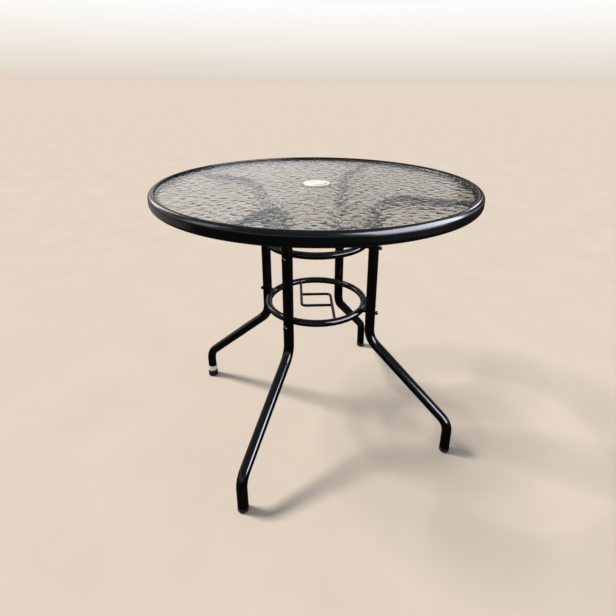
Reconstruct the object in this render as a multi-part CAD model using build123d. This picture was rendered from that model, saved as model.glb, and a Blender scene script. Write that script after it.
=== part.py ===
from build123d import *
from build123d.topology import SkipClean
import os
from math import sqrt

# Sizes are in millimetres and angles in degrees.
# The floor is at zero height and the table's axis is Z.

# Table top
table_height = 700.0
table_diameter = 800.0
rim_height = 32.0
rim_width = 13.5
rim_wall = 1.2
rim_outer_round = 10.5
rim_lip_round = 2.5
rim_arc_count = 8
ledge_width = 7.0
glass_thickness = 5.0
glass_recess = 5.0
glass_edge_chamfer = 0.8
gasket_base = 1.8
gasket_setback = 0.6
gasket_upstand = 1.0
gasket_rise = 0.8
gasket_clearance = 0.2

# Parasol ring in the glass and its lift-out cap
pole_hole_diameter = 40.0
cap_seat_step = 2.5
sleeve_wall = 2.2
sleeve_clearance = 0.3
sleeve_drop = 8.0
flange_overhang = 8.3
flange_height = 3.0
flange_round = 1.2
cap_seat_depth = 6.0
cap_clearance = 0.3
cap_skirt_wall = 1.5
cap_overhang = 2.3
cap_thickness = 1.8
cap_edge_round = 0.6
cap_dish_depth = 0.9
cap_dish_margin = 4.5

# Legs: each is one tube with three bends, in a plane through the table's axis
leg_angles = {"front_left": 225.0, "front_right": 315.0, "rear_right": 45.0, "rear_left": 135.0}
levelling_leg = "rear_left"
leg_diameter = 26.0
leg_wall = 1.2
upright_radius = 158.0
foot_inset = 11.0
knee_height = 292.0
ankle_height = 89.0
shoulder_bend_radius = 75.0
knee_bend_radius = 60.0
ankle_bend_radius = 55.0

# Flat ends of the arms, screwed from below to lugs that are welded inside the rim
tab_end_inset = 3.5
tab_length = 35.0
tab_width = 40.0
tab_thickness = 2.6
press_length = 38.0
press_closed_length = 3.0
lug_reach = 36.0
lug_width = 36.0
lug_thickness = 4.0
weld_gap = 0.1
screw_diameter = 6.0
screw_length = 8.0
screw_inset = 20.0
screw_head_diameter = 11.0
screw_head_height = 3.5
screw_head_round = 1.4
screw_hole_clearance = 0.3
thread_clearance = 0.1

# Clear pads between the arms and the glass
pad_diameter = 14.0
pad_setback = 8.0
pad_thickness = 2.0

# Hoops that tie the uprights together
hoop_diameter = 18.0
hoop_wall = 1.2
upper_hoop_height = 552.0
lower_hoop_height = 371.0
boss_gap = 5.0
boss_diameter = 12.0
bolt_diameter = 6.0
bolt_clearance = 0.3
bolt_tip_reach = 1.5
bolt_neck_diameter = 8.0
bolt_neck_length = 2.5
bolt_head_diameter = 10.5
bolt_head_height = 5.5
bolt_head_round = 3.4
hex_socket_width = 4.0
hex_socket_depth = 2.2

# Wire square in the lower hoop that steadies the pole
wire_diameter = 7.5
brace_half_width = 41.0
brace_half_length = 34.0
brace_bend_radius = 12.0
brace_turn = -16.3

# Plastic caps plugged into the tube ends
foot_cap_height = 12.0
foot_cap_overhang = 0.3
foot_cap_round = 4.0
foot_cap_top_round = 0.4
foot_plug_length = 20.0
foot_plug_wall = 2.0
foot_plug_clearance = 0.1

# Levelling foot: white insert in the tube, steel stud and black foot
collar_height = 16.0
collar_overhang = 1.5
collar_round = 0.8
insert_depth = 24.0
insert_clearance = 0.1
stud_diameter = 10.0
stud_clearance = 0.3
stud_rise = 22.0
stud_chamfer = 1.0
leveller_foot_height = 21.0
leveller_foot_diameter = 30.0
leveller_foot_round = 2.0
leveller_floor = 3.0
leveller_gap = 0.3

# Heights and radii that follow from the sizes above
rim_radius = table_diameter / 2
lip_radius = rim_radius - rim_width
rim_bottom = table_height - rim_height
glass_top_height = table_height - glass_recess
glass_bottom_height = glass_top_height - glass_thickness
ledge_top = glass_bottom_height - gasket_base
ledge_bottom = ledge_top - rim_wall
ledge_radius = lip_radius - ledge_width
gasket_outer_radius = lip_radius - gasket_clearance
gasket_inner_radius = gasket_outer_radius - gasket_upstand
glass_radius = gasket_inner_radius - gasket_clearance

throat_radius = pole_hole_diameter / 2
cap_seat_radius = throat_radius + cap_seat_step
sleeve_radius = cap_seat_radius + sleeve_wall
glass_hole_radius = sleeve_radius + sleeve_clearance
flange_radius = sleeve_radius + flange_overhang
flange_top = glass_top_height + flange_height
cap_seat_height = flange_top - cap_seat_depth

leg_radius = leg_diameter / 2
leg_bore_radius = leg_radius - leg_wall
foot_radius = rim_radius - foot_inset
arm_height = glass_bottom_height - pad_thickness - leg_radius
pad_radius = upright_radius + shoulder_bend_radius + pad_setback + pad_diameter / 2

lug_top = ledge_bottom - weld_gap
lug_bottom = lug_top - lug_thickness
lug_outer_radius = rim_radius - rim_wall - weld_gap
lug_inner_radius = lip_radius - lug_reach
tab_top = lug_bottom - weld_gap
tab_bottom = tab_top - tab_thickness
tab_end_radius = lip_radius - tab_end_inset
tab_start_radius = tab_end_radius - tab_length
press_start_radius = tab_start_radius - press_length
rim_screw_radius = lip_radius - screw_inset

hoop_tube_radius = hoop_diameter / 2
hoop_radius = upright_radius - leg_radius - boss_gap - hoop_tube_radius
bolt_seat_radius = upright_radius + leg_radius
bolt_head_radius = bolt_seat_radius + bolt_neck_length
bolt_tip_radius = hoop_radius + hoop_tube_radius - hoop_wall - bolt_tip_reach

collar_bottom = leveller_foot_height + leveller_gap
collar_top = collar_bottom + collar_height
stud_bottom = leveller_floor + leveller_gap
stud_top = collar_top + stud_rise


def turned(*points):
    """A solid turned about Z from an outline of (radius, height) points."""
    outline = make_face(Polyline(*points, close=True))
    return revolve(Plane.XZ * outline, Axis.Z)


def box_section(inner_radius, outer_radius, low, high):
    """A rectangle of a turned section, between two radii and two heights."""
    centre = Pos((inner_radius + outer_radius) / 2, (low + high) / 2)
    return centre * Rectangle(outer_radius - inner_radius, high - low)


def radial_rod(radius, start, end, height):
    """A round rod that points away from the table's axis, on the +X side."""
    return Pos((start + end) / 2, 0, height) * Rot(0, 90, 0) * Cylinder(radius, end - start)


def upright_rod(radius, low, high):
    """A round rod that stands on the Z axis between two heights."""
    return Pos(0, 0, (low + high) / 2) * Cylinder(radius, high - low)


def at_leg(shape, corner):
    """Turns a shape from the +X side to its own leg."""
    return Rot(0, 0, leg_angles[corner]) * shape


def at_every_leg(shape):
    """One separate copy of a shape at each leg."""
    return Compound([at_leg(shape, corner) for corner in leg_angles])


def at_foot(shape, corner):
    """Moves a shape from the table's axis to the foot of a leg."""
    return at_leg(Pos(foot_radius, 0, 0) * shape, corner)


def rounded_top(solid, radius):
    """Rounds the edges of a solid's highest face."""
    return fillet(solid.faces().sort_by(Axis.Z)[-1].edges(), radius)


def rim_band():
    """Roll-formed steel rim: a round-cornered channel with a ledge for the glass, turned in equal arcs."""
    section = box_section(lip_radius, rim_radius, rim_bottom, table_height)
    section = fillet(section.vertices().group_by(Axis.X)[-1], rim_outer_round)
    lip_corner = section.vertices().group_by(Axis.X)[0].sort_by(Axis.Y)[-1]
    section = fillet(lip_corner, rim_lip_round)
    hollow = offset(section, -rim_wall)
    mouth = box_section(ledge_radius, lip_radius + 2 * rim_wall, rim_bottom + rim_wall, ledge_bottom)
    ledge = box_section(ledge_radius, lip_radius + rim_wall, ledge_bottom, ledge_top)
    step = 360 / rim_arc_count
    arc = revolve(Plane.XZ * (section - hollow - mouth + ledge), Axis.Z, step)
    rim = arc
    with SkipClean():
        for number in range(1, rim_arc_count):
            rim += Rot(0, 0, number * step) * arc
    return rim


def glass_top():
    """Tempered glass disc with eased edges and a hole for the parasol ring."""
    chamfer_low = glass_bottom_height + glass_edge_chamfer
    chamfer_high = glass_top_height - glass_edge_chamfer
    return turned(
        (glass_hole_radius + glass_edge_chamfer, glass_bottom_height),
        (glass_radius - glass_edge_chamfer, glass_bottom_height),
        (glass_radius, chamfer_low),
        (glass_radius, chamfer_high),
        (glass_radius - glass_edge_chamfer, glass_top_height),
        (glass_hole_radius + glass_edge_chamfer, glass_top_height),
        (glass_hole_radius, chamfer_high),
        (glass_hole_radius, chamfer_low),
    )


def glass_gasket():
    """Soft strip on the ledge, turned up between the glass and the lip."""
    upstand_top = glass_top_height + gasket_rise
    return turned(
        (ledge_radius + gasket_setback, ledge_top),
        (gasket_outer_radius, ledge_top),
        (gasket_outer_radius, upstand_top),
        (gasket_inner_radius, upstand_top),
        (gasket_inner_radius, glass_bottom_height),
        (ledge_radius + gasket_setback, glass_bottom_height),
    )


def parasol_ring():
    """Flanged sleeve in the glass hole, stepped inside so that the cap drops in."""
    sleeve = upright_rod(sleeve_radius, glass_bottom_height - sleeve_drop, flange_top)
    flange = upright_rod(flange_radius, glass_top_height, flange_top)
    ring = rounded_top(sleeve + flange, flange_round)
    ring -= upright_rod(throat_radius, glass_bottom_height - sleeve_drop, flange_top)
    return ring - upright_rod(cap_seat_radius, cap_seat_height, flange_top)


def parasol_cap():
    """Dished cap whose hollow skirt drops into the parasol ring."""
    cap_top = flange_top + cap_thickness
    cap_radius = cap_seat_radius + cap_overhang
    skirt_radius = cap_seat_radius - cap_clearance
    skirt_bottom = cap_seat_height + cap_clearance
    plate = rounded_top(upright_rod(cap_radius, flange_top, cap_top), cap_edge_round)
    skirt = upright_rod(skirt_radius, skirt_bottom, flange_top)
    skirt -= upright_rod(skirt_radius - cap_skirt_wall, skirt_bottom, flange_top)
    dish_radius = cap_radius - cap_dish_margin
    ball_radius = (dish_radius ** 2 + cap_dish_depth ** 2) / (2 * cap_dish_depth)
    dish = Pos(0, 0, cap_top - cap_dish_depth + ball_radius) * Sphere(ball_radius)
    return plate + skirt - dish


def arm_section(shape, radius, height):
    """Places a flat shape square across an arm, at a radius and a height."""
    return Plane(origin=(radius, 0, height), x_dir=(0, 1, 0), z_dir=(1, 0, 0)) * shape


def pressed_end(inset, closed_length):
    """The arm's end as it narrows from round to flat, drawn in by an inset and stopped short by a length."""
    short = closed_length / press_length
    tab_height = (tab_top + tab_bottom) / 2
    end_height = tab_height + short * (arm_height - tab_height)
    end_half_width = tab_width / 2 + short * (leg_radius - tab_width / 2) - inset
    end_half_height = tab_thickness / 2 + short * (leg_radius - tab_thickness / 2) - inset
    round_end = arm_section(Circle(leg_radius - inset), press_start_radius, arm_height)
    flat_end = Ellipse(end_half_width, end_half_height)
    flat_end = arm_section(flat_end, tab_start_radius - closed_length, end_height)
    return loft([round_end, flat_end], ruled=True)


def leg_tube(foot_end):
    """Pressed end, arm, upright, slanted shank and foot of one leg, drilled for its bolts and screw."""
    path = FilletPolyline(
        (press_start_radius, 0, arm_height),
        (upright_radius, 0, arm_height),
        (upright_radius, 0, knee_height),
        (foot_radius, 0, ankle_height),
        (foot_radius, 0, foot_end),
        radius=[shoulder_bend_radius, knee_bend_radius, ankle_bend_radius],
    )
    start = Plane(origin=path @ 0, z_dir=path % 0)
    tab = Plane.XZ * box_section(tab_start_radius, tab_end_radius, tab_bottom, tab_top)
    tab = extrude(tab, tab_width / 2, both=True)
    tube = sweep(start * Circle(leg_radius), path=path) + pressed_end(0, 0) + tab
    tube -= sweep(start * Circle(leg_bore_radius), path=path) + pressed_end(leg_wall, press_closed_length)
    bolt_hole_radius = bolt_diameter / 2 + bolt_clearance
    for height in (upper_hoop_height, lower_hoop_height):
        tube -= radial_rod(bolt_hole_radius, hoop_radius, upright_radius + leg_diameter, height)
    screw_hole = upright_rod(screw_diameter / 2 + screw_hole_clearance, tab_bottom, tab_top)
    return tube - Pos(rim_screw_radius, 0, 0) * screw_hole


def rim_lug():
    """Plate welded under the ledge and inside the rim, threaded for the arm's screw."""
    plate = Plane.XZ * box_section(lug_inner_radius, rim_radius, lug_bottom, lug_top)
    plate = extrude(plate, lug_width / 2, both=True) & upright_rod(lug_outer_radius, lug_bottom, lug_top)
    thread = upright_rod(screw_diameter / 2 + thread_clearance, lug_bottom, lug_top)
    return plate - Pos(rim_screw_radius, 0, 0) * thread


def rim_screw():
    """Round-headed screw that holds an arm to its lug, from below."""
    shank = upright_rod(screw_diameter / 2, tab_bottom, tab_bottom + screw_length)
    head = upright_rod(screw_head_diameter / 2, tab_bottom - screw_head_height, tab_bottom)
    head = fillet(head.faces().sort_by(Axis.Z)[0].edges(), screw_head_round)
    return Pos(rim_screw_radius, 0, 0) * (shank + head)


def glass_pad():
    """Clear pad that straddles an arm and carries the glass."""
    pad = Pos(pad_radius, 0, 0) * upright_rod(pad_diameter / 2, arm_height, glass_bottom_height)
    return pad - radial_rod(leg_radius, pad_radius - pad_diameter, pad_radius + pad_diameter, arm_height)


def hoop(height):
    """Tube hoop with a hole at each leg for the tip of its bolt."""
    tube = Torus(hoop_radius, hoop_tube_radius) - Torus(hoop_radius, hoop_tube_radius - hoop_wall)
    tip_hole = radial_rod(bolt_diameter / 2 + bolt_clearance, hoop_radius, upright_radius, 0)
    for corner in leg_angles:
        tube -= at_leg(tip_hole, corner)
    return Pos(0, 0, height) * tube


def hoop_boss(height):
    """Threaded spacer between a hoop and a leg, cut to fit both tubes."""
    boss = radial_rod(boss_diameter / 2, hoop_radius, upright_radius, height)
    boss -= Pos(0, 0, height) * Torus(hoop_radius, hoop_tube_radius + weld_gap)
    boss -= Pos(upright_radius, 0, height) * Cylinder(leg_radius + weld_gap, leg_diameter)
    return boss - radial_rod(bolt_diameter / 2 + thread_clearance, hoop_radius, upright_radius, height)


def hoop_bolt(height):
    """Socket-headed bolt with a short neck, that passes through a leg into its boss."""
    head = rounded_top(upright_rod(bolt_head_diameter / 2, 0, bolt_head_height), bolt_head_round)
    socket = extrude(RegularPolygon(hex_socket_width / 2, 6, major_radius=False), hex_socket_depth)
    head -= Pos(0, 0, bolt_head_height - hex_socket_depth) * socket
    head = Pos(bolt_head_radius, 0, height) * Rot(0, 90, 0) * head
    neck = radial_rod(bolt_neck_diameter / 2, bolt_seat_radius, bolt_head_radius, height)
    return head + neck + radial_rod(bolt_diameter / 2, bolt_tip_radius, bolt_seat_radius, height)


def brace_wire(turn):
    """Bent wire from the lower hoop to the other wire, making two sides of the square."""
    hoop_end = sqrt(hoop_radius ** 2 - brace_half_width ** 2)
    path = FilletPolyline(
        (-brace_half_width, hoop_end, 0),
        (-brace_half_width, -brace_half_length, 0),
        (brace_half_width, -brace_half_length, 0),
        radius=brace_bend_radius,
    )
    wire = sweep(Plane(origin=path @ 0, z_dir=path % 0) * Circle(wire_diameter / 2), path=path)
    wire -= Torus(hoop_radius, hoop_tube_radius + weld_gap)
    other_side = Rot(90, 0, 0) * Cylinder(wire_diameter / 2 + weld_gap, 2 * hoop_radius)
    wire -= Pos(brace_half_width, 0, 0) * other_side
    return Pos(0, 0, lower_hoop_height) * Rot(0, 0, brace_turn + turn) * wire


def foot_cap():
    """Plastic cap under the end of a leg, with a hollow plug inside the tube."""
    cap = upright_rod(leg_radius + foot_cap_overhang, 0, foot_cap_height)
    cap = rounded_top(cap, foot_cap_top_round)
    cap = fillet(cap.faces().sort_by(Axis.Z)[0].edges(), foot_cap_round)
    plug_top = foot_cap_height + foot_plug_length
    plug_radius = leg_bore_radius - foot_plug_clearance
    plug = upright_rod(plug_radius, foot_cap_height, plug_top)
    return cap + plug - upright_rod(plug_radius - foot_plug_wall, foot_cap_height, plug_top)


def leveller_insert():
    """Threaded insert in the tube, with a collar that shows under the tube's end."""
    collar = upright_rod(leg_radius + collar_overhang, collar_bottom, collar_top)
    collar = fillet(collar.edges().filter_by(GeomType.CIRCLE), collar_round)
    insert = collar + upright_rod(leg_bore_radius - insert_clearance, collar_bottom, collar_top + insert_depth)
    return insert - upright_rod(stud_diameter / 2 + stud_clearance, collar_bottom, collar_top + insert_depth)


def leveller_stud():
    """Screw of the levelling foot."""
    stud = upright_rod(stud_diameter / 2, stud_bottom, stud_top)
    return chamfer(stud.edges().filter_by(GeomType.CIRCLE), stud_chamfer)


def leveller_foot():
    """Round foot at the end of the stud."""
    foot = upright_rod(leveller_foot_diameter / 2, 0, leveller_foot_height)
    foot = fillet(foot.edges().filter_by(GeomType.CIRCLE), leveller_foot_round)
    return foot - upright_rod(stud_diameter / 2 + stud_clearance, leveller_floor, leveller_foot_height)


nodes = {
    "rim_band": rim_band(),
    "glass_gasket": glass_gasket(),
    "glass_top": glass_top(),
    "parasol_ring": parasol_ring(),
    "parasol_cap": parasol_cap(),
    "upper_ring": hoop(upper_hoop_height),
    "lower_ring": hoop(lower_hoop_height),
    "upper_ring_bolts": at_every_leg(hoop_bolt(upper_hoop_height)),
    "lower_ring_bolts": at_every_leg(hoop_bolt(lower_hoop_height)),
    "brace_wire_left": brace_wire(0),
    "brace_wire_right": brace_wire(180),
    "rim_screws": at_every_leg(rim_screw()),
    "leveller_insert": at_foot(leveller_insert(), levelling_leg),
    "leveller_stud": at_foot(leveller_stud(), levelling_leg),
    "leveller_foot": at_foot(leveller_foot(), levelling_leg),
}

for corner in leg_angles:
    levelled = corner == levelling_leg
    nodes["leg_" + corner] = at_leg(leg_tube(collar_top if levelled else foot_cap_height), corner)
    nodes["rim_lug_" + corner] = at_leg(rim_lug(), corner)
    nodes["glass_pad_" + corner] = at_leg(glass_pad(), corner)
    nodes["upper_boss_" + corner] = at_leg(hoop_boss(upper_hoop_height), corner)
    nodes["lower_boss_" + corner] = at_leg(hoop_boss(lower_hoop_height), corner)
    if not levelled:
        nodes["foot_cap_" + corner] = at_foot(foot_cap(), corner)

os.makedirs("parts", exist_ok=True)
for name, shape in nodes.items():
    export_step(shape, os.path.join("parts", name + ".step"))
print("wrote", len(nodes), "nodes")
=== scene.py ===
# %% [markdown]
# A round garden table, dressed for its portrait.
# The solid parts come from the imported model, at their real size and in their real place.
# This lesson gives each of them its finish, and makes the one piece that a plain solid can't show:
# the glass, whose two sides are pressed into ripples.

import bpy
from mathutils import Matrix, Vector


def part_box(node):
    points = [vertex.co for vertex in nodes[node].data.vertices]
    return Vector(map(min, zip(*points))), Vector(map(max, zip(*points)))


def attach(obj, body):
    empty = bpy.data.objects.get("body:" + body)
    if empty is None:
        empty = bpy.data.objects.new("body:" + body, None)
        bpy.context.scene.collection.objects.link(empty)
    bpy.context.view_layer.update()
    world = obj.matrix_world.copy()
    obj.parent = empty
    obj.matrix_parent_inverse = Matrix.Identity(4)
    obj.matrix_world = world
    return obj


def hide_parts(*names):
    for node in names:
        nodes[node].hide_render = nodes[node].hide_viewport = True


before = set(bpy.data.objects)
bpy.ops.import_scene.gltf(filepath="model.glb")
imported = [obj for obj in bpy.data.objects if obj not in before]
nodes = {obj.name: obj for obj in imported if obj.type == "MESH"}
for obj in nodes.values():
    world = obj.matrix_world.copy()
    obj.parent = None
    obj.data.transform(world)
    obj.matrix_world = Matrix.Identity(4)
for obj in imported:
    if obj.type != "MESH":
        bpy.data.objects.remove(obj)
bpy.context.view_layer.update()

# %% [markdown]
# Every finish below is a small network of shader nodes.
# Nodes can be wired by hand, one line for each, but a formula is easier to read than wiring.
# So one class wraps a socket: sums and products of wrapped sockets add the maths nodes,
# and its method called node adds any other kind.
# Colours and vectors go through such other kinds, because a maths node would turn a colour grey.

# %% A socket that can be used in a formula
import math

import bmesh
import bpy
from mathutils import Matrix, Vector, noise

MILLIMETRE = 0.001


class Wire:
    """One output socket of a material, usable in Python expressions."""

    def __init__(self, tree, socket):
        self.tree = tree
        self.socket = socket

    def node(self, kind, settings=None, inputs=None, output=0):
        """Adds a node: its settings come first, then the values or links of its sockets."""
        made = self.tree.nodes.new(kind)
        for name, value in (settings or {}).items():
            if name == "stops":
                put_stops(made.color_ramp, value)
            else:
                setattr(made, name, value)
        for name, value in (inputs or {}).items():
            connect(made.inputs[name], value)
        return Wire(self.tree, made.outputs[output])

    def maths(self, operation, first, second):
        """Adds a maths node for two numbers, either of which may be a plain one."""
        return self.node("ShaderNodeMath", {"operation": operation}, {0: first, 1: second})

    def __add__(self, other):
        return self.maths("ADD", self, other)

    def __radd__(self, other):
        return self.maths("ADD", other, self)

    def __sub__(self, other):
        return self.maths("SUBTRACT", self, other)

    def __rsub__(self, other):
        return self.maths("SUBTRACT", other, self)

    def __mul__(self, other):
        return self.maths("MULTIPLY", self, other)

    def __rmul__(self, other):
        return self.maths("MULTIPLY", other, self)

    def __pow__(self, other):
        return self.maths("POWER", self, other)

    def __rpow__(self, other):
        return self.maths("POWER", other, self)


def connect(socket, value):
    """Links a wrapped socket to an input, or sets a plain value on it."""
    if isinstance(value, Wire):
        value.tree.links.new(value.socket, socket)
    else:
        socket.default_value = value


def put_stops(ramp, stops):
    """Places a ramp's stops, each a position and a colour."""
    while len(ramp.elements) < len(stops):
        ramp.elements.new(1.0)
    for element, (position, colour) in zip(ramp.elements, stops):
        element.position = position
        element.color = (*colour, 1.0)


print("sockets ready for formulas")

# %% Helpers for finishes
# A Mix node has sockets for every kind of data, and these are the ones for colours.
MIX_FACTOR, MIX_FIRST, MIX_SECOND, MIX_RESULT = 0, 6, 7, 2
NOISE_MIDDLE = 0.5


def mix_colours(factor, first, second):
    """A colour between two colours, by a factor that changes over the surface."""
    first, second = (end if isinstance(end, Wire) else (*end, 1.0) for end in (first, second))
    ends = {MIX_FACTOR: factor, MIX_FIRST: first, MIX_SECOND: second}
    return factor.node("ShaderNodeMix", {"data_type": "RGBA"}, ends, output=MIX_RESULT)


def new_finish(name, **constants):
    """A material, its shader with constant values set, and the place on the object in metres."""
    material = bpy.data.materials.new(name)
    material.use_nodes = True
    tree = material.node_tree
    shader = tree.nodes["Principled BSDF"]
    for socket, value in constants.items():
        shader.inputs[socket.replace("_", " ")].default_value = value
    place = tree.nodes.new("ShaderNodeTexCoord")
    return material, shader, Wire(tree, place.outputs["Object"])


def grain(place, size, detail=2.0, roughness=0.5):
    """Noise whose lumps are about this many metres across."""
    return place.node(
        "ShaderNodeTexNoise",
        {"noise_dimensions": "3D"},
        {"Vector": place, "Scale": 1.0 / size, "Detail": detail, "Roughness": roughness},
    )


def raise_bumps(shader, height, depth):
    """Tilts the surface as if the height stood this many metres proud."""
    bump = height.node("ShaderNodeBump", None, {"Height": height, "Distance": depth, "Strength": 1.0})
    connect(shader.inputs["Normal"], bump)


def wear_finish(names, material):
    """Gives named nodes a material in all their slots."""
    for name in names:
        mesh = nodes[name].data
        mesh.materials.clear()
        mesh.materials.append(material)


print("finish helpers ready")

# %% [markdown]
# The rim, legs and hoops are steel with a gloss black powder coat.
# Powder melts into a skin that isn't quite flat: painters call it orange peel.
# A flat black shader would look like a hole in the picture, so the coat gets that peel as a shallow bump,
# a slight mottle in its gloss, and a breath of dust on faces that look up.

# %% Powder coat
PEEL_SIZE = 2.4 * MILLIMETRE
PEEL_DEPTH = 0.012 * MILLIMETRE
MOTTLE_SIZE = 35 * MILLIMETRE
MOTTLE_IN_GLOSS = 0.08
DUST_SPECK = 0.8 * MILLIMETRE
DUST_CLING = 3.0
DUST_SHARE = 0.02
DUST_DULLING = 0.5
PALE_DUST = (0.35, 0.33, 0.30)
RIM_BLACK = (0.003, 0.003, 0.0035)
TUBE_BLACK = (0.002, 0.002, 0.0022)
BOLT_BLACK = (0.004, 0.004, 0.0045)
TUBE_NAMES = ("leg_", "rim_lug_", "upper_boss_", "lower_boss_", "brace_wire_")


def powder_coat(name, colour, gloss, shine):
    """Black coat on steel: its colour, the roughness of its gloss, and the strength of its gloss."""
    material, shader, place = new_finish(name, IOR=1.5, Specular_IOR_Level=shine)
    mottle = grain(place, MOTTLE_SIZE, detail=3.0)
    facing = place.node("ShaderNodeNewGeometry", output="Normal")
    upward = facing.node("ShaderNodeSeparateXYZ", None, {0: facing}, output="Z")
    speckle = grain(place, DUST_SPECK, detail=4.0, roughness=0.7)
    settled = upward.maths("MAXIMUM", upward, 0.0) ** DUST_CLING
    dusty = settled * mottle * speckle * DUST_SHARE
    uneven = (mottle - NOISE_MIDDLE) * MOTTLE_IN_GLOSS
    connect(shader.inputs["Base Color"], mix_colours(dusty, colour, PALE_DUST))
    connect(shader.inputs["Roughness"], gloss + uneven + dusty * DUST_DULLING)
    raise_bumps(shader, grain(place, PEEL_SIZE, detail=1.0), PEEL_DEPTH)
    return material


tube_nodes = [name for name in nodes if name.startswith(TUBE_NAMES)] + ["upper_ring", "lower_ring"]
bolt_nodes = ["upper_ring_bolts", "lower_ring_bolts"]
wear_finish(["rim_band"], powder_coat("rim_powder_coat", RIM_BLACK, gloss=0.2, shine=0.3))
wear_finish(tube_nodes, powder_coat("tube_powder_coat", TUBE_BLACK, gloss=0.12, shine=0.3))
wear_finish(bolt_nodes, powder_coat("bolt_black_plating", BOLT_BLACK, gloss=0.2, shine=0.4))
print("powder coat on", 1 + len(tube_nodes), "nodes, black plating on", len(bolt_nodes))

# %% [markdown]
# The moulded pieces are the white parasol ring and cap, the white nylon insert of the levelling foot,
# the black feet and the rubber seal of the glass.
# Moulded plastic keeps the fine grain of its mould and goes a little dull where it is handled.
# One recipe makes all four finishes, because only colour, gloss and grain tell them apart.

# %% Moulded plastics
PATCH_SIZE = 18 * MILLIMETRE
SPECK_SIZE = 1.5 * MILLIMETRE
SPECK_IN_GLOSS = 0.15

foot_nodes = [name for name in nodes if name.startswith("foot_cap_")] + ["leveller_foot"]

# Pieces, then name, colour, stain, gloss, and the size and depth of the grain in millimetres
MOULDINGS = [
    (["parasol_ring", "parasol_cap"],
     "white_parasol_plastic", (0.96, 0.96, 0.95), (0.86, 0.85, 0.83), 0.34, 0.9, 0.01),
    (["leveller_insert"],
     "white_insert_nylon", (0.8, 0.8, 0.78), (0.5, 0.48, 0.44), 0.45, 0.7, 0.02),
    (foot_nodes,
     "black_foot_plastic", (0.012, 0.012, 0.012), (0.05, 0.047, 0.043), 0.48, 0.6, 0.03),
    (["glass_gasket"],
     "black_seal_rubber", (0.01, 0.01, 0.01), (0.03, 0.03, 0.028), 0.6, 0.5, 0.02),
]


def moulded_plastic(name, colour, stain, gloss, grain_size, grain_depth):
    """Plastic with a fine mould grain and a faint stain in broad patches."""
    material, shader, place = new_finish(name, IOR=1.49)
    patches = grain(place, PATCH_SIZE, detail=4.0)
    specks = grain(place, SPECK_SIZE, detail=3.0, roughness=0.65)
    connect(shader.inputs["Base Color"], mix_colours(patches * specks, colour, stain))
    connect(shader.inputs["Roughness"], gloss + (specks - NOISE_MIDDLE) * SPECK_IN_GLOSS)
    raise_bumps(shader, grain(place, grain_size * MILLIMETRE), grain_depth * MILLIMETRE)
    return material


for pieces, *recipe in MOULDINGS:
    wear_finish(pieces, moulded_plastic(*recipe))
print("moulded finishes", len(MOULDINGS), "on", sum(len(row[0]) for row in MOULDINGS), "nodes")

# %% [markdown]
# Two small things are left: the clear pads between glass and arms, and the bare zinc of stud and screws.
# The pads could be as clear as glass, but soft vinyl clouds, so about half of their light is scattered.
# The zinc is a metal with spangles, as plating leaves them, and fine marks of the machining.

# %% Clear pads and bright steel
CLOUD_SIZE = 3 * MILLIMETRE
CLOUD_IN_GLOSS = 0.15
VINYL_GLOSS = 0.12
CLEAR_VINYL = (0.9, 0.92, 0.92)
CLOUDED_VINYL = (0.75, 0.78, 0.78)
SPANGLE_SIZE = 4 * MILLIMETRE
SPANGLE_IN_GLOSS = 0.2
ZINC_GLOSS = 0.25
DARK_SPANGLE = (0.58, 0.59, 0.61)
LIGHT_SPANGLE = (0.72, 0.73, 0.74)
BRUSH_SIZE = 0.6 * MILLIMETRE
BRUSH_DEPTH = 0.01 * MILLIMETRE


def clear_vinyl():
    """Soft clear pads, a little cloudy."""
    material, shader, place = new_finish("clear_pad_vinyl", IOR=1.45, Transmission_Weight=0.45)
    cloud = grain(place, CLOUD_SIZE, detail=3.0)
    connect(shader.inputs["Base Color"], mix_colours(cloud, CLEAR_VINYL, CLOUDED_VINYL))
    connect(shader.inputs["Roughness"], VINYL_GLOSS + cloud * CLOUD_IN_GLOSS)
    return material


def bright_zinc():
    """Zinc-plated steel, brushed by its machining."""
    material, shader, place = new_finish("bright_zinc_steel", Metallic=1.0)
    spangle = grain(place, SPANGLE_SIZE, detail=4.0)
    connect(shader.inputs["Base Color"], mix_colours(spangle, DARK_SPANGLE, LIGHT_SPANGLE))
    connect(shader.inputs["Roughness"], ZINC_GLOSS + spangle * SPANGLE_IN_GLOSS)
    raise_bumps(shader, grain(place, BRUSH_SIZE), BRUSH_DEPTH)
    return material


pad_nodes = [name for name in nodes if name.startswith("glass_pad_")]
wear_finish(pad_nodes, clear_vinyl())
wear_finish(["leveller_stud", "rim_screws"], bright_zinc())
print("clear vinyl on", len(pad_nodes), "pads, zinc on stud and screws")

# %% [markdown]
# The glass is rolled with ripples, deep below and shallower on top, which break up what is seen through it.
# A bump map could fake that, but bumps don't bend what is seen through the glass,
# so the ripples are real: each side is a fine polar grid whose points rise and fall.
# A sum of regular waves would look like a weave, so the height comes from noise,
# stretched along one direction, with finer noise on top.

# %% Ripples of the glass
RIPPLE_SPACING = 10 * MILLIMETRE
RIPPLE_STRETCH = 1.4
RIPPLE_RUN = math.radians(-19.3)
WAVE_SHARE = 1.3
WAVELET_SHARE = 0.3
WAVELET_RATE = 1.9
WAVELET_LAYER = 0.5


def ripple(x, y, layer):
    """Height of a rippled side at a place, from 0 to 1. The two sides read different layers of the noise."""
    run = (x * math.cos(RIPPLE_RUN) + y * math.sin(RIPPLE_RUN)) / (RIPPLE_SPACING * RIPPLE_STRETCH)
    cross = (y * math.cos(RIPPLE_RUN) - x * math.sin(RIPPLE_RUN)) / RIPPLE_SPACING
    wave = noise.noise(Vector((run, cross, layer)))
    wavelet = noise.noise(Vector((WAVELET_RATE * run, WAVELET_RATE * cross, layer + WAVELET_LAYER)))
    return 0.5 + 0.5 * max(-1.0, min(1.0, WAVE_SHARE * wave + WAVELET_SHARE * wavelet))


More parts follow.
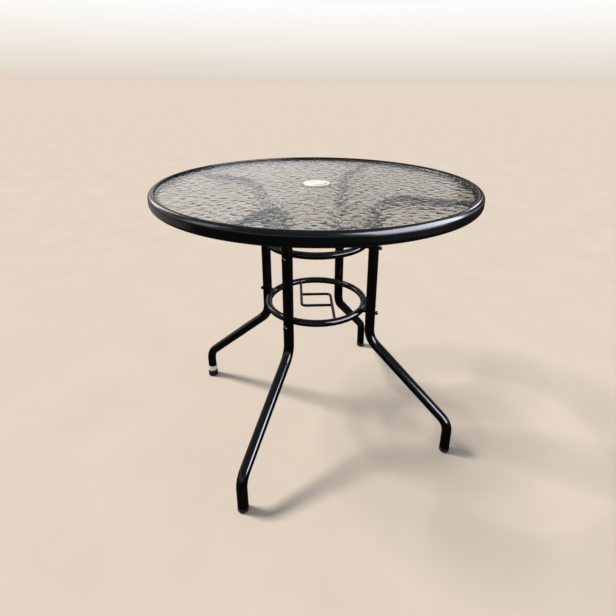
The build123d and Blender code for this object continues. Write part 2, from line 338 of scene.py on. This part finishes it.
print("ripples about", RIPPLE_SPACING / MILLIMETRE, "mm apart")

# %% Rings of the glass
UNDERSIDE_RIPPLE = 1.5 * MILLIMETRE
TOP_RIPPLE = 1.05 * MILLIMETRE
RING_STEP = 2.8 * MILLIMETRE
EDGE_EASE = 0.8 * MILLIMETRE
SWELL_WIDTH = 6 * MILLIMETRE


def distances_from_axis(node):
    """The least and greatest distance of a node's points from the table's axis."""
    reach = [math.hypot(v.co.x, v.co.y) for v in nodes[node].data.vertices]
    return min(reach), max(reach)


def swell(radius, flat, outer):
    """Share of the ripple at a radius: none under the parasol ring and none at the edge."""
    return max(0.0, min(1.0, (radius - flat) / SWELL_WIDTH, (outer - radius) / SWELL_WIDTH))


def glass_rings(low, high, hole_radius, edge_radius):
    """Radius, height and ripple of each ring: outward below, up the edge, inward above, down the hole."""
    inner, outer = hole_radius + EDGE_EASE, edge_radius - EDGE_EASE
    count = round((outer - inner) / RING_STEP)
    across = [inner + (outer - inner) * i / count for i in range(count + 1)]
    flat = distances_from_axis("parasol_ring")[1]
    below = [(radius, low, UNDERSIDE_RIPPLE * swell(radius, flat, outer)) for radius in across]
    edge = [(edge_radius, low + EDGE_EASE, 0.0), (edge_radius, high - EDGE_EASE, 0.0)]
    above = [(radius, high, -TOP_RIPPLE * swell(radius, flat, outer)) for radius in reversed(across)]
    hole = [(hole_radius, high - EDGE_EASE, 0.0), (hole_radius, low + EDGE_EASE, 0.0)]
    return below + edge + above + hole


glass_reach = distances_from_axis("glass_top")
print("glass from", *(round(reach / MILLIMETRE, 1) for reach in glass_reach), "mm off the axis")

# %% Glass disc
RIM_SEGMENTS = 800
UNDERSIDE_LAYER = 0.0
TOP_LAYER = 7.0
CREASE = math.radians(40)


def rippled_glass():
    """Glass disc with both sides rippled, in the place of the plain solid."""
    low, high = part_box("glass_top")
    mesh = bmesh.new()
    loops = []
    for radius, height, depth in glass_rings(low.z, high.z, *glass_reach):
        layer = TOP_LAYER if depth < 0.0 else UNDERSIDE_LAYER
        loop = []
        for s in range(RIM_SEGMENTS):
            angle = 2.0 * math.pi * s / RIM_SEGMENTS
            x, y = radius * math.cos(angle), radius * math.sin(angle)
            z = height + depth * ripple(x, y, layer) if depth else height
            loop.append(mesh.verts.new((x, y, z)))
        loops.append(loop)
    for a, b in zip(loops, loops[1:] + loops[:1]):
        for s in range(RIM_SEGMENTS):
            t = (s + 1) % RIM_SEGMENTS
            mesh.faces.new((a[s], a[t], b[t], b[s]))
    bmesh.ops.recalc_face_normals(mesh, faces=mesh.faces)
    for face in mesh.faces:
        face.smooth = True
    data = bpy.data.meshes.new("rippled_glass")
    mesh.to_mesh(data)
    mesh.free()
    data.set_sharp_from_angle(angle=CREASE)
    return bpy.data.objects.new("rippled_glass", data)


glass = rippled_glass()
bpy.context.scene.collection.objects.link(glass)
print("glass faces", len(glass.data.polygons))

# %% [markdown]
# The finish of the glass is clear with a faint grey, and a film dulls it in places.
# The renderer finds light that bends through glass onto a floor only by luck,
# so the floor would get dark shade or bright patches.
# For that reason the glass casts no shadow, and light on its way between dull surfaces doesn't meet it.

# %% Glass finish
FILM_SIZE = 60 * MILLIMETRE
FILM_IN_GLOSS = 0.05
GLASS_GLOSS = 0.03
CLEAN_GLASS = (0.72, 0.73, 0.73)
FILMED_GLASS = (0.68, 0.69, 0.69)
PRESSING_SIZE = 5 * MILLIMETRE
PRESSING_DEPTH = 0.04 * MILLIMETRE


def ripple_glass_finish():
    """Clear glass with a faint grey, a film on it, and the finest marks of the roller as a bump."""
    material, shader, place = new_finish("ripple_glass", IOR=1.5, Transmission_Weight=1.0)
    film = grain(place, FILM_SIZE, detail=5.0)
    connect(shader.inputs["Base Color"], mix_colours(film, CLEAN_GLASS, FILMED_GLASS))
    connect(shader.inputs["Roughness"], GLASS_GLOSS + film * FILM_IN_GLOSS)
    raise_bumps(shader, grain(place, PRESSING_SIZE, detail=1.5), PRESSING_DEPTH)
    return material


glass.data.materials.append(ripple_glass_finish())
glass.visible_shadow = False
glass.visible_diffuse = False
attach(glass, "table")
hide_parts("glass_top")
print("glass finish", glass.data.materials[0].name)

# %% [markdown]
# The stage is a plain pale floor, so that nothing but the table is looked at.
# It is wide enough to reach the horizon, where its colour comes close to the sky's.
# Gloss rays don't see it, so black paint doesn't mirror its warm colour.

# %% Floor
FLOOR_SIZE = 3000.0
FLOOR_DROP = 0.5 * MILLIMETRE
FLOOR_MOTTLE = 0.25
FLOOR_MOTTLE_IN_GLOSS = 0.15
FLOOR_GLOSS = 0.7
DARK_FLOOR = (0.64, 0.56, 0.48)
LIGHT_FLOOR = (0.73, 0.645, 0.56)


def pale_floor():
    """A wide plane with a faint mottle."""
    bpy.ops.mesh.primitive_plane_add(size=FLOOR_SIZE, location=(0.0, 0.0, -FLOOR_DROP))
    floor = bpy.context.object
    floor.name = "floor"
    material, shader, place = new_finish("pale_floor", Specular_IOR_Level=0.0)
    mottle = grain(place, FLOOR_MOTTLE, detail=6.0)
    connect(shader.inputs["Base Color"], mix_colours(mottle, DARK_FLOOR, LIGHT_FLOOR))
    connect(shader.inputs["Roughness"], FLOOR_GLOSS + mottle * FLOOR_MOTTLE_IN_GLOSS)
    floor.data.materials.append(material)
    floor.visible_glossy = False
    return floor


print("stage has a", pale_floor().name)

# %% [markdown]
# Glass shows much of what it mirrors, and from this low the top mirrors the sky just above the horizon.
# An even grey sky would leave it flat, so the dome has a bright band there, taller on the left.
# A colour ramp over the height of each direction draws the band, once for either side.

# %% Sky
SKY_STRENGTH = 1.1
PICTURE_RIGHT = (0.9436, -0.3312, 0.0)
SIDE_BLEND = 0.12

# Places on the ramp, from straight down at 0 through the horizon at 0.5 to straight up at 1
HORIZON_STOPS = [
    (0.45, (0.03, 0.03, 0.03)),
    (0.496, (0.66, 0.575, 0.48)),
    (0.55, (0.85, 0.83, 0.8)),
    (0.57, (0.9, 0.89, 0.88)),
]
LEFT_STOPS = [
    (0.605, (0.86, 0.86, 0.86)),
    (0.66, (0.52, 0.52, 0.52)),
    (0.72, (0.24, 0.25, 0.26)),
    (1.0, (0.36, 0.39, 0.43)),
]
RIGHT_STOPS = [
    (0.605, (0.36, 0.36, 0.36)),
    (0.68, (0.22, 0.23, 0.24)),
    (1.0, (0.36, 0.39, 0.43)),
]


def soft_sky():
    """A dome with a bright band above the horizon, which the glass mirrors."""
    world = bpy.data.worlds.new("studio")
    bpy.context.scene.world = world
    world.use_nodes = True
    tree = world.node_tree
    direction = Wire(tree, tree.nodes.new("ShaderNodeTexCoord").outputs["Generated"])
    height = direction.node("ShaderNodeSeparateXYZ", None, {0: direction}, output="Z")
    level = height * 0.5 + 0.5
    left = level.node("ShaderNodeValToRGB", {"stops": HORIZON_STOPS + LEFT_STOPS}, {0: level})
    right = level.node("ShaderNodeValToRGB", {"stops": HORIZON_STOPS + RIGHT_STOPS}, {0: level})
    dot = {"operation": "DOT_PRODUCT"}
    across = direction.node("ShaderNodeVectorMath", dot, {0: direction, 1: PICTURE_RIGHT}, output="Value")
    blend = {"Value": across, "From Min": -SIDE_BLEND, "From Max": SIDE_BLEND}
    side = across.node("ShaderNodeMapRange", None, blend)
    background = tree.nodes["Background"]
    connect(background.inputs["Color"], mix_colours(side, left, right))
    connect(background.inputs["Strength"], SKY_STRENGTH)
    return world


print("sky", soft_sky().name)

# %% [markdown]
# What is glossy is drawn by what it mirrors, so studios hang cards around it.
# The sky alone leaves the right end of the glass too pale, and a dimmer sky would darken more than that.
# A dark card at the back on the right does it for that end alone: it shows in gloss and casts no shadow.

# %% Dark card
CARD_PLACE = Vector((2.13, 1.16, 1.3))
CARD_SIZE = (1.5, 1.3)
TABLE_TOP = Vector((0.0, 0.0, 0.7))
FELT_SIZE = 20 * MILLIMETRE
DARK_FELT = (0.05, 0.05, 0.05)
LIGHT_FELT = (0.09, 0.09, 0.085)


def dark_card():
    """A card that faces the table top and only shows as a dark reflection."""
    bpy.ops.mesh.primitive_plane_add(size=1.0, location=CARD_PLACE)
    card = bpy.context.object
    card.name = "dark_card"
    card.scale = (*CARD_SIZE, 1.0)
    card.rotation_euler = (TABLE_TOP - CARD_PLACE).to_track_quat("Z", "Y").to_euler()
    material, shader, place = new_finish("dark_card_felt", Specular_IOR_Level=0.0)
    felt = grain(place, FELT_SIZE, detail=4.0)
    connect(shader.inputs["Base Color"], mix_colours(felt, DARK_FELT, LIGHT_FELT))
    card.data.materials.append(material)
    card.visible_camera = False
    card.visible_diffuse = False
    card.visible_transmission = False
    card.visible_shadow = False
    return card


print("card at", [round(v, 2) for v in dark_card().location])

# %% [markdown]
# One broad sun on the left, a little behind, lights the floor and gives the soft shadows.
# It leaves out the rim, because it would draw a white streak along the lip at the front left.
# Light linking does that: a lamp has a collection of receivers, and a member can be set to be left out.

# %% Sun
SUN_PLACE = Vector((-1.7, 1.1, 2.6))
SUN_STRENGTH = 3.1
SUN_SPREAD = math.radians(14.0)
SUN_COLOUR = (1.0, 0.93, 0.84)


def receivers_of(name, members):
    """A collection of the nodes that a lamp is linked to."""
    group = bpy.data.collections.new(name)
    for member in members:
        group.objects.link(nodes[member])
    return group


def soft_sun(left_out):
    """A sun as wide as a studio's light bank, so that its shadows are soft and the floor is lit evenly."""
    data = bpy.data.lights.new("sun", "SUN")
    data.energy = SUN_STRENGTH
    data.angle = SUN_SPREAD
    data.color = SUN_COLOUR
    sun = bpy.data.objects.new("sun", data)
    sun.rotation_euler = (-SUN_PLACE).to_track_quat("-Z", "Y").to_euler()
    sun.light_linking.receiver_collection = left_out
    for member in left_out.collection_objects:
        member.light_linking.link_state = "EXCLUDE"
    bpy.context.scene.collection.objects.link(sun)
    return sun


sun = soft_sun(receivers_of("sunless_group", ["rim_band"]))
print("sun of strength", round(sun.data.energy, 2))

# %% [markdown]
# The long highlights show how round the black tubes and the rim are.
# Each is the mirror image of a bright patch, and one big lamp would also bleach glass and floor.
# So each gets a lamp of the patch's shape, linked to its own pieces, which lights nothing else.
# Only gleams on the arms have to pass the glass, which takes some bounces.

# %% Lamps for the highlights
LAMP_AIM = Vector((0.0, 0.0, 0.45))
STRAIGHT = 0
THROUGH_GLASS = 8

legs = [name for name in tube_nodes if name.startswith("leg_")]
hoops = [name for name in tube_nodes if name not in legs] + bolt_nodes
rim_group = receivers_of("rim_group", ["rim_band"])
leg_group = receivers_of("leg_group", legs)
rim_and_hoops = receivers_of("rim_and_hoops", ["rim_band", *hoops])

# Name, receivers, place, width and height in metres, watts, colour and bounces
GLEAMS = [
    ("right_lamp", rim_and_hoops, (1.46, -1.35, 1.76), (3.0, 2.1), 430.0, (0.84, 0.87, 1.0), STRAIGHT),
    ("right_edge_lamp", rim_and_hoops, (1.72, 0.82, 1.38), (0.28, 0.28), 3.0, (0.9, 0.95, 1.0), STRAIGHT),
    ("left_lamp", rim_and_hoops, (-1.18, 1.53, 1.45), (0.5, 0.92), 8.5, (1.0, 0.96, 0.96), STRAIGHT),
    ("far_left_lamp", rim_group, (-2.0, 0.11, 1.7), (0.8, 1.3), 14.0, (0.9, 0.88, 1.0), STRAIGHT),
    ("low_right_lamp", rim_group, (1.35, -1.8, 0.58), (2.0, 0.5), 21.0, (0.84, 0.87, 1.0), STRAIGHT),
    ("low_left_lamp", rim_group, (-1.49, 1.16, 0.14), (2.0, 0.64), 1.5, (1.0, 0.93, 0.95), STRAIGHT),
    ("leg_right_lamp", leg_group, (1.69, 0.59, 2.5), (1.6, 1.8), 92.0, (0.78, 0.86, 1.0), THROUGH_GLASS),
    ("leg_front_lamp", leg_group, (0.85, -1.85, 0.6), (0.7, 1.0), 68.0, (0.85, 0.9, 1.0), THROUGH_GLASS),
    ("arm_lamp", leg_group, (0.2, 2.75, 0.3), (1.8, 0.8), 30.0, (1.0, 0.97, 0.93), THROUGH_GLASS),
]


def gloss_lamp(name, receivers, place, size, watts, colour, bounces):
    """A lamp that faces the table and shows only as a gleam on some pieces, as a reflector card would."""
    data = bpy.data.lights.new(name, "AREA")
    data.shape = "RECTANGLE"
    data.size, data.size_y = size
    data.energy = watts
    data.color = colour
    data.cycles.max_bounces = bounces
    lamp = bpy.data.objects.new(name, data)
    lamp.location = place
    lamp.rotation_euler = (LAMP_AIM - Vector(place)).to_track_quat("-Z", "Y").to_euler()
    lamp.visible_camera = False
    lamp.visible_diffuse = False
    lamp.light_linking.receiver_collection = receivers
    bpy.context.scene.collection.objects.link(lamp)


for gleam in GLEAMS:
    gloss_lamp(*gleam)
print("lamps for highlights", len(GLEAMS))

# %% [markdown]
# The camera stands where the photo was taken from: a little over a metre away, just above the table top,
# turned so that one leg comes forward on the left.
# The values come from lining up the known circles of the rim, hoops and feet with the picture.
# The view called Standard shows colours as they are, without the curve of a film.

# %% Camera
FRAME_PIXELS = 616
FOCAL_PIXELS = 444.5
CENTRE_PIXEL = (320.3, 257.4)
SENSOR_WIDTH = 36.0
CAMERA_DISTANCE = 1.1037
CAMERA_HEIGHT = 0.9335
CAMERA_BEARING = math.radians(-19.34)
CAMERA_HEADING = math.radians(0.516)
CAMERA_TILT = math.radians(21.587)
CAMERA_ROLL = math.radians(0.496)
LOOK_LEVEL = math.radians(90.0)

camera_data = bpy.data.cameras.new("camera")
camera_data.sensor_width = SENSOR_WIDTH
camera_data.lens = FOCAL_PIXELS / FRAME_PIXELS * SENSOR_WIDTH
camera_data.shift_x = (FRAME_PIXELS / 2 - CENTRE_PIXEL[0]) / FRAME_PIXELS
camera_data.shift_y = (CENTRE_PIXEL[1] - FRAME_PIXELS / 2) / FRAME_PIXELS
camera = bpy.data.objects.new("camera", camera_data)
bearing = Matrix.Rotation(CAMERA_BEARING, 4, "Z")
aim = Matrix.Rotation(CAMERA_BEARING - CAMERA_HEADING, 4, "Z")
aim = aim @ Matrix.Rotation(LOOK_LEVEL - CAMERA_TILT, 4, "X") @ Matrix.Rotation(CAMERA_ROLL, 4, "Z")
camera.matrix_world = Matrix.Translation(bearing @ Vector((0.0, -CAMERA_DISTANCE, CAMERA_HEIGHT))) @ aim
bpy.context.scene.collection.objects.link(camera)
bpy.context.scene.camera = camera
bpy.context.scene.view_settings.view_transform = "Standard"
print("camera at", [round(v, 3) for v in camera.location])
